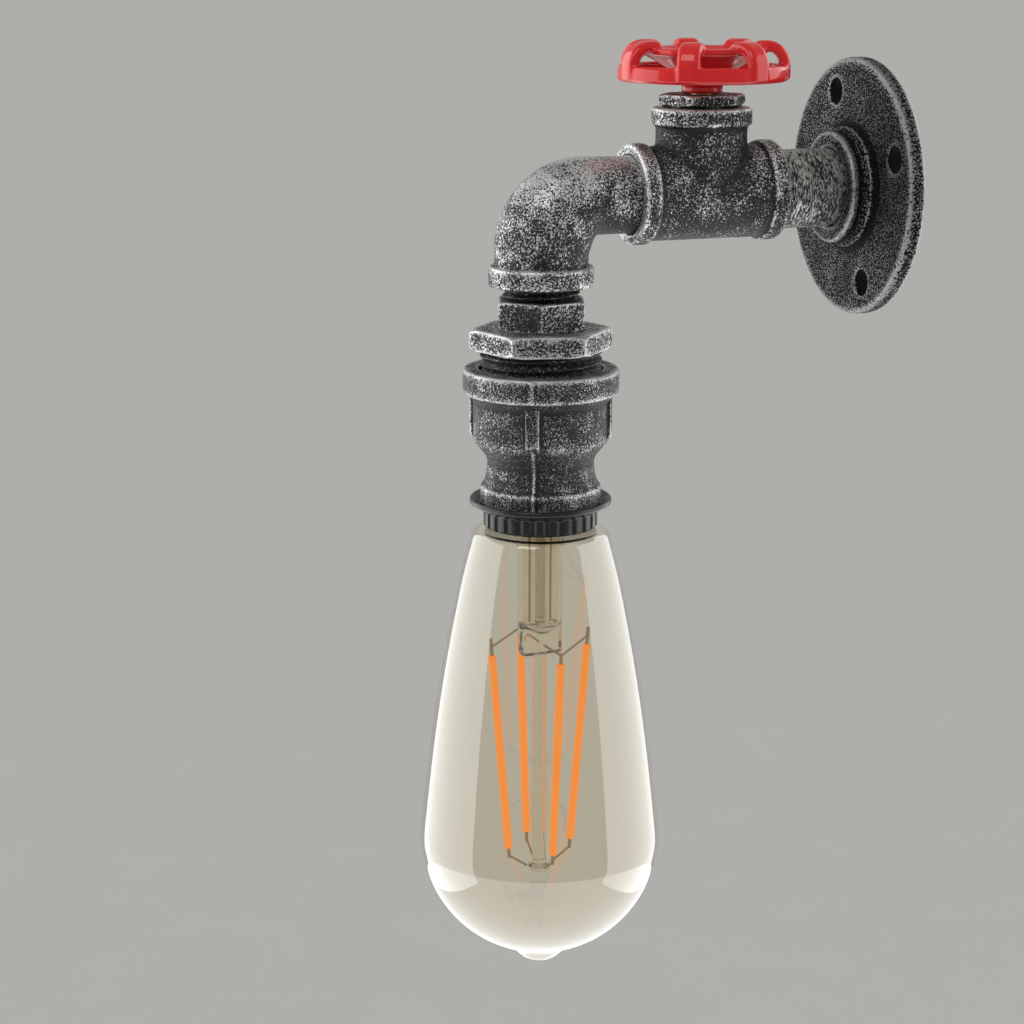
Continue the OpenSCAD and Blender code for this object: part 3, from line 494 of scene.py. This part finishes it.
def phosphor_with_painted_glow():
    """Orange coat of a filament, mottled along its length, with a faint painted glow though the lamp is off.
    """
    made = material("filament_coat_painted_glow")
    place = object_place(made)
    spots = noise(made, place, 900, 3.0)
    drive(made, "Base Color", mix(made, spots, (0.86, 0.22, 0.001, 1), (0.96, 0.32, 0.003, 1)))
    drive(made, "Roughness", remap(made, spots, 0.3, 0.7, 0.38, 0.5))
    # Painted glow: the unlit filament gives off a little orange light of its own
    shader(made).inputs["Emission Color"].default_value = (1.0, 0.28, 0.0, 1)
    shader(made).inputs["Emission Strength"].default_value = 0.6
    bump(made, spots, 0.2, 0.06 * MM)
    return made


BLACK = (0.005, 0.006, 0.006)
cast_iron = rubbed_iron("rubbed_cast_iron", BLACK, (0.66, 0.67, 0.67), 1800, -0.012)
tee_iron = rubbed_iron("rubbed_tee_iron", BLACK, (0.78, 0.79, 0.79), 1800, -0.02,
                       edge_gain=0.085, swell_gain=0.085, patch=0.1)
socket_iron = rubbed_iron("rubbed_socket_iron", BLACK, (0.57, 0.58, 0.58), 2200, -0.018,
                          edge_gain=0.2, swell_gain=0.03, painted_top_light_gain=0.03, patch=0.08)
bush_iron = rubbed_iron("rubbed_bush_iron", BLACK, (0.62, 0.63, 0.63), 1750, 0.012, edge_gain=0.13)
# The elbow's strong up gain is painted top light: its upper side more silver, its underside darker
elbow_iron = rubbed_iron("rubbed_elbow_iron", BLACK, (0.72, 0.73, 0.73), 1800, -0.024,
                         edge_gain=0.05, swell_gain=0.035, painted_top_light_gain=0.075, patch=0.12)
flange_iron = pebbled_iron("pebbled_flange_iron", (0.002, 0.0025, 0.0025), (0.42, 0.435, 0.43), 1700)
pipe_iron = rubbed_iron("brushed_pipe_iron", (0.016, 0.018, 0.017), (0.62, 0.65, 0.62), 1900, 0.016,
                        edge_gain=0.2, swell_gain=0.0, painted_top_light_gain=0.03, patch=0.12,
                        rough=(0.48, 0.34), grain=0.2, stretch=(0.3, 1.0, 0.3))
thread_iron = rubbed_iron("oiled_thread_iron", (0.004, 0.005, 0.005), (0.30, 0.31, 0.31), 1300, -0.07)
wheel_red = red_enamel()
ring_black = moulded("black_ring", (0.004, 0.004, 0.006), 0.28)
holder_black = moulded("black_holder", (0.010, 0.010, 0.012), 0.4)
glazed = moulded("glazed_porcelain", (0.74, 0.72, 0.66), 0.18)
brass = metal("plain_brass", (0.60, 0.42, 0.18), 0.3)
wire_brass = metal("dull_wire", (0.62, 0.44, 0.19), 0.35)
zinc = metal("zinc_plate", (0.62, 0.63, 0.64), 0.32)
bright_steel = metal("bright_screw", (0.80, 0.80, 0.79), 0.18)
brown_sleeve = moulded("brown_sleeve", (0.14, 0.06, 0.03), 0.5)
blue_sleeve = moulded("blue_sleeve", (0.04, 0.13, 0.40), 0.5)
board_green = moulded("board_green", (0.03, 0.17, 0.07), 0.35)
bulb_tint = tinted_glass("amber_glass", (1.0, 0.967, 0.87), (1.0, 0.955, 0.83),
                         glass_low.z, glass_high.z, lustre=0.7)
mount_glass = tinted_glass("mount_glass", (0.95, 0.91, 0.785), (0.96, 0.92, 0.80),
                           rod_low.z, rod_high.z, lustre=0.5)
orange_coat_painted_glow = phosphor_with_painted_glow()

# Shallow lumps that sand leaves on a casting
sand = bpy.data.textures.new("sand", "CLOUDS")
sand.noise_scale = 1.6 * MM
sand.noise_depth = 2


# Cast fittings

def on_bend(place):
    """True on the elbow's swept part, away from its band and its thread."""
    return place.z > elbow_low.z + 6.5 * MM and place.y < tee_low.y - 1.5 * MM


def in_crotch(place):
    """True where the tee's branch meets its body, between the bands."""
    away = math.hypot(place.x, place.y - wheel_y)
    return 4 * MM < place.z < tee_high.z - 6.5 * MM and 9.6 * MM < away < 15.5 * MM


def quieten_holes(obj, low, high, share):
    """Weakens the rubbed rims of the screw holes between two radii and darkens the holes."""
    marks = obj.data.attributes["edge"].data
    values = np.zeros(len(marks), dtype=np.float32)
    marks.foreach_get("value", values)
    places = coordinates(obj.data)
    away = np.hypot(places[:, 0], places[:, 2])
    flat_face = (away > low) & (away < high)
    values = np.where(flat_face, np.minimum(values, values * share), values)
    inside_holes = flat_face & (np.abs(directions(obj.data)[:, 1]) < 0.6)
    values[inside_holes] = -0.6
    marks.foreach_set("value", values.astype(np.float32))


def parting_line(turn):
    """A low ridge across the socket's band, where the two halves of its mould met."""
    band_r = (socket_high.x - socket_low.x) / 2
    out = band_r - 0.5 * MM
    bpy.ops.object.select_all(action="DESELECT")
    middle = (math.cos(turn) * out, lamp_y + math.sin(turn) * out, socket_high.z - BAND_HEIGHT / 2)
    bpy.ops.mesh.primitive_cube_add(size=1, location=middle, rotation=(0, 0, turn),
                                    scale=(1.8 * MM, 1.2 * MM, BAND_HEIGHT - 0.7 * MM))
    ridge = bpy.context.object
    settle(ridge)
    edit_all(ridge)
    bpy.ops.mesh.bevel(offset=0.25 * MM, segments=2, affect="EDGES")
    leave()
    return ridge


BAND_HEIGHT = 6.8 * MM
SEAM_TURN = math.radians(-27)

flange = casting("wall_flange", "flange_casting", 0.42 * MM, soften=3)
quieten_holes(flange, low=20 * MM, high=32 * MM, share=0.3)
keep(flange, flange_iron, "fixture", "flange_iron", "wall_flange")
pipe = casting("arm_nipple", "arm_pipe", 0.36 * MM, soften=2, lumps=0)
keep(pipe, pipe_iron, "fixture", "pipe_iron", "arm_nipple")
tee = casting("pipe_tee", "tee_casting", 0.34 * MM, soften=4, loose=in_crotch, passes=60)
keep(tee, tee_iron, "fixture", "cast_iron", "pipe_tee")
elbow = casting("street_elbow", "elbow_casting", 0.36 * MM, soften=4, loose=on_bend)
keep(elbow, elbow_iron, "fixture", "cast_iron", "street_elbow")
socket = casting("reducing_socket", "socket_casting", 0.36 * MM, soften=3,
                 added=[parting_line(SEAM_TURN), parting_line(SEAM_TURN + math.pi)])
keep(socket, socket_iron, "fixture", "cast_iron", "reducing_socket")
gland = casting("gland_nut", "gland_hexagon", 0.26 * MM, soften=3)
keep(gland, cast_iron, "fixture", "cast_iron", "gland_nut")


# Hexagon nipple and bush, with wound threads between them

def cut_level(obj, height, keep_upper):
    """Cuts obj level at a height, drops one side and closes the cut."""
    edit_all(obj)
    bpy.ops.mesh.bisect(plane_co=(0, 0, height), plane_no=(0, 0, 1), use_fill=True,
                        clear_inner=keep_upper, clear_outer=not keep_upper)
    leave()


def hexagon(node, name, low, high, grain):
    """The hexagon of a fitting, cut out between two heights, as a rough casting."""
    obj = merged_copy(node, name)
    cut_level(obj, low, keep_upper=True)
    cut_level(obj, high, keep_upper=False)
    even_mesh(obj, grain)
    wear_down(obj, 4)
    mark_wear_and_top_light(obj)
    lump(obj, 0.1 * MM, 0.5)
    smooth(obj)
    return obj


HALF_INCH_PITCH = 1.814 * MM
ONE_INCH_PITCH = 2.309 * MM
HALF_INCH_R = 10.42 * MM
ONE_INCH_R = 16.48 * MM
NIPPLE_HEX_HEIGHT = 7.8 * MM
BUSH_HEX_HEIGHT = 5.8 * MM

nipple_hex = hexagon("hex_nipple", "nipple_hexagon", bush_high.z, bush_high.z + NIPPLE_HEX_HEIGHT,
                     0.26 * MM)
keep(nipple_hex, cast_iron, "fixture", "cast_iron", "hex_nipple")
bush_hex = hexagon("reducing_bush", "bush_hexagon", bush_high.z - BUSH_HEX_HEIGHT, bush_high.z, 0.32 * MM)
keep(bush_hex, bush_iron, "fixture", "cast_iron", "reducing_bush")
nipple_thread = thread("nipple_thread", HALF_INCH_R, 1.0 * MM, HALF_INCH_PITCH,
                       bush_high.z + NIPPLE_HEX_HEIGHT - 1.2 * MM, elbow_low.z + 4 * MM, (0, lamp_y))
keep(nipple_thread, thread_iron, "fixture", "cast_iron")
bush_thread = thread("bush_thread", ONE_INCH_R, 1.25 * MM, ONE_INCH_PITCH,
                     socket_high.z - 4 * MM, bush_high.z - BUSH_HEX_HEIGHT + 1.2 * MM, (0, lamp_y))
keep(bush_thread, thread_iron, "fixture", "cast_iron")


# Valve wheel and its screw

wheel = softened("handwheel", "wheel_casting", 0.30 * MM, 22)
keep(wheel, wheel_red, "wheel", "red_enamel", "handwheel")
screw = softened("wheel_screw", "wheel_screw_head", 0.10 * MM, 4)
keep(screw, bright_steel, "wheel", "bright_steel", "wheel_screw")


# Ring under the socket

ring = softened("shade_ring", "dished_ring", 0.24 * MM, 4)
keep(ring, ring_black, "fixture", "black_plastic", "shade_ring")


# Bulb

GLASS_WALL = 0.9 * MM
PIP_HEIGHT = 6.6 * MM
SHOULDER_R = 19.0 * MM
NECK_R = 6.35 * MM
SHOULDER_ROUND = 3 * MM
CONE_LENGTH = 88.0 * MM
BOWL_SWEEP = math.radians(72)
belly_r = (glass_high.x - glass_low.x) / 2
shoulder_z = glass_high.z - 3.4 * MM
bowl_z = glass_low.z + PIP_HEIGHT
belly_z = shoulder_z - CONE_LENGTH

# Side line of the glass: neck, rounded shoulder, swelling cone, bowl and pip
shell_line = [(NECK_R, glass_high.z), (NECK_R, shoulder_z + 2.0 * MM),
              (NECK_R + 2.0 * MM, shoulder_z + 0.3 * MM)]
for step in range(6):
    turn = math.radians(86 - 14.8 * step)
    shell_line.append((SHOULDER_R + SHOULDER_ROUND * (math.cos(turn) - 1),
                       shoulder_z + SHOULDER_ROUND * (math.sin(turn) - 1)))
for step in range(1, 14):
    part = 0.08 + 0.92 * step / 14
    spread = part + 0.11 * math.sin(math.pi * part)
    shell_line.append((SHOULDER_R + (belly_r - SHOULDER_R) * spread, shoulder_z - CONE_LENGTH * part))
for step in range(16):
    turn = math.radians(4.8 * step)
    fall = math.sin(turn) / math.sin(BOWL_SWEEP)
    shell_line.append((belly_r * math.cos(turn), belly_z - (belly_z - bowl_z) * fall))
for out, down in ((0.245, 0.26), (0.195, 0.54), (0.135, 0.84)):
    shell_line.append((belly_r * out, bowl_z - PIP_HEIGHT * down))
shell_line.append((0.0, glass_low.z))
glass = lathe("bulb_shell", shell_line, steps=64, place=(0, lamp_y), close=False)
finish_with(glass, "SUBSURF", levels=2, render_levels=2)
finish_with(glass, "SOLIDIFY", thickness=GLASS_WALL, offset=-1)
smooth(glass)
keep(glass, bulb_tint, "bulb", "amber_glass", "bulb_glass")

# Screw cap: a rolled thread between a turned collar and a turned shoulder
CAP_PITCH = 2.82 * MM
cap_low, cap_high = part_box("screw_cap")
cap_r = (cap_high.x - cap_low.x) / 2 - 0.3 * MM
cap_thread = thread("cap_thread", cap_r, 0.55 * MM, CAP_PITCH,
                    cap_low.z + 0.6 * MM, cap_high.z - 1.4 * MM, (0, lamp_y), rolled=True)
keep(cap_thread, zinc, "bulb", "zinc", "screw_cap")
thread_top = max(v.co.z for v in cap_thread.data.vertices)
collar_line = [(cap_r - 1.2 * MM, cap_low.z), (cap_r + 0.3 * MM, cap_low.z),
               (cap_r + 0.3 * MM, cap_low.z + 0.5 * MM), (cap_r - 0.1 * MM, cap_low.z + 0.9 * MM),
               (cap_r - 1.2 * MM, cap_low.z + 0.9 * MM)]
shoulder_line = [(cap_r - 2.0 * MM, thread_top - 0.8 * MM), (cap_r - 0.5 * MM, thread_top - 0.8 * MM),
                 (cap_r - 0.6 * MM, thread_top + 0.2 * MM), (cap_r - 1.3 * MM, cap_high.z),
                 (cap_r - 2.2 * MM, cap_high.z)]
for name, line in (("cap_collar", collar_line), ("cap_shoulder", shoulder_line)):
    turned = lathe(name, line, steps=ROUND_STEPS, place=(0, lamp_y))
    smooth(turned, 35)
    keep(turned, zinc, "bulb", "zinc")

# Glass mount and filaments inside the bulb
for node, passes in (("glass_stem", 45), ("exhaust_tube", 8), ("support_rod", 8)):
    blown = softened(node, node + "_blown", 0.22 * MM, passes)
    keep(blown, mount_glass, "bulb", "clear_glass", node)

filaments = softened("led_filaments", "coated_filaments", 0.16 * MM, 16)
keep(filaments, orange_coat_painted_glow, "bulb", "filament", "led_filaments")


# CAD pieces that show as they are

PLAIN = {
    "filament_pins": wire_brass, "lead_wires": wire_brass, "foot_wires": wire_brass,
    "switch_housing": holder_black, "switch_contacts": brass, "switch_rotor": glazed,
    "live_feed_wire": brown_sleeve, "live_lamp_wire": brown_sleeve, "neutral_wire": blue_sleeve,
    "holder_tube": zinc, "holder_locknut": zinc, "holder_washer": zinc, "holder_dome": holder_black,
    "holder_insert": glazed, "holder_sleeve": holder_black, "screw_shell": brass, "centre_contact": brass,
    "terminal_screws": brass, "valve_stem": brass, "cap_contact": brass,
    "cap_insulator": holder_black, "led_driver": board_green,
}
for node, finish in PLAIN.items():
    dress(nodes[node], finish)


# Studio

def panel(name, place, target, size, watts):
    """A soft light that faces a point and shows neither to the camera nor through glass."""
    lamp = bpy.data.lights.new(name, "AREA")
    lamp.shape = "RECTANGLE"
    lamp.size, lamp.size_y = size
    lamp.energy = watts
    obj = bpy.data.objects.new(name, lamp)
    obj.location = place
    obj.rotation_euler = (Vector(target) - Vector(place)).to_track_quat("-Z", "Y").to_euler()
    obj.visible_camera = False
    obj.visible_transmission = False
    bpy.context.scene.collection.objects.link(obj)
    return obj


FLOOR_Z = cad_box[0].z - 2.5
bpy.ops.object.select_all(action="DESELECT")
bpy.ops.mesh.primitive_plane_add(size=600, location=(0, 0, FLOOR_Z))
floor = bpy.context.object
floor.name = "studio_floor"
floor_grey = material("floor_grey")
floor_cloud = noise(floor_grey, object_place(floor_grey), 3, 2.0)
drive(floor_grey, "Base Color",
      mix(floor_grey, floor_cloud, (0.76, 0.755, 0.74, 1), (0.78, 0.775, 0.76, 1)))
shader(floor_grey).inputs["Roughness"].default_value = 0.9
dress(floor, floor_grey)

# The backdrop that is seen has the tone of the far floor; the rest of the sky only lights
SKY_LIGHT = (0.55, 0.55, 0.54, 1)
SEEN_TONE = (0.425, 0.422, 0.406, 1)
world = bpy.data.worlds.new("studio")
bpy.context.scene.world = world
world.use_nodes = True
sky = world.node_tree.nodes["Background"]
rays = world.node_tree.nodes.new("ShaderNodeLightPath")
seen = rays.outputs["Is Camera Ray"]
for kind in ("Is Glossy Ray", "Is Transmission Ray"):
    either = world.node_tree.nodes.new("ShaderNodeMath")
    either.operation = "MAXIMUM"
    world.node_tree.links.new(seen, either.inputs[0])
    world.node_tree.links.new(rays.outputs[kind], either.inputs[1])
    seen = either.outputs[0]
tones = world.node_tree.nodes.new("ShaderNodeMix")
tones.data_type = "RGBA"
tones.inputs[6].default_value = SKY_LIGHT
tones.inputs[7].default_value = SEEN_TONE
world.node_tree.links.new(seen, tones.inputs[0])
world.node_tree.links.new(tones.outputs[2], sky.inputs["Color"])
sky.inputs["Strength"].default_value = 1.0

# Camera fitted to the photograph
VIEW_AZIMUTH = math.radians(70.47)
VIEW_ELEVATION = math.radians(13.84)
VIEW_TARGET = Vector((-8.7 * MM, -99.6 * MM, -86.5 * MM))
VIEW_DISTANCE = 622.0 * MM
FOCAL_LENGTH = 79.73
back = Vector((math.sin(VIEW_AZIMUTH) * math.cos(VIEW_ELEVATION),
               -math.cos(VIEW_AZIMUTH) * math.cos(VIEW_ELEVATION), math.sin(VIEW_ELEVATION)))
right = Vector((math.cos(VIEW_AZIMUTH), math.sin(VIEW_AZIMUTH), 0))
lens = bpy.data.cameras.new("photo_camera")
lens.sensor_width = 36
lens.lens = FOCAL_LENGTH
lens.clip_start, lens.clip_end = 0.01, 1000
camera = bpy.data.objects.new("photo_camera", lens)
camera.location = VIEW_TARGET + back * VIEW_DISTANCE
camera.rotation_euler = (-back).to_track_quat("-Z", "Y").to_euler()
bpy.context.scene.collection.objects.link(camera)
bpy.context.scene.camera = camera

# Two side softboxes a little behind the bulb, a bounce card under it and a key light above
SIDE_OUT, SIDE_BEHIND, SIDE_SIZE = 0.64, 0.17, (1.1, 1.25)
CARD_BELOW, CARD_SIZE = 0.6, (2.2, 2.2)
bulb_middle = Vector((0, lamp_y, -0.14))
level_back = Vector((back.x, back.y, 0)).normalized()
side_height = Vector((0, 0, 0.02))
for name, side, watts in (("left_softbox", -right, 8.6), ("right_softbox", right, 7.4)):
    place = bulb_middle + side * SIDE_OUT - level_back * SIDE_BEHIND + side_height
    panel(name, place, bulb_middle + side_height, SIDE_SIZE, watts)
card = panel("bounce_card", bulb_middle + Vector((0, 0, -CARD_BELOW)), bulb_middle, CARD_SIZE, 15.0)
card.data.shape = "ELLIPSE"
card.visible_diffuse = False
key_place = Vector((0, lamp_y / 2, 0)) + level_back * 0.6 - right * 0.35 + Vector((0, 0, 0.75))
panel("key_softbox", key_place, (0, lamp_y / 2, -0.03), (0.5, 0.5), 2.6)

bpy.context.scene.view_settings.view_transform = "Standard"
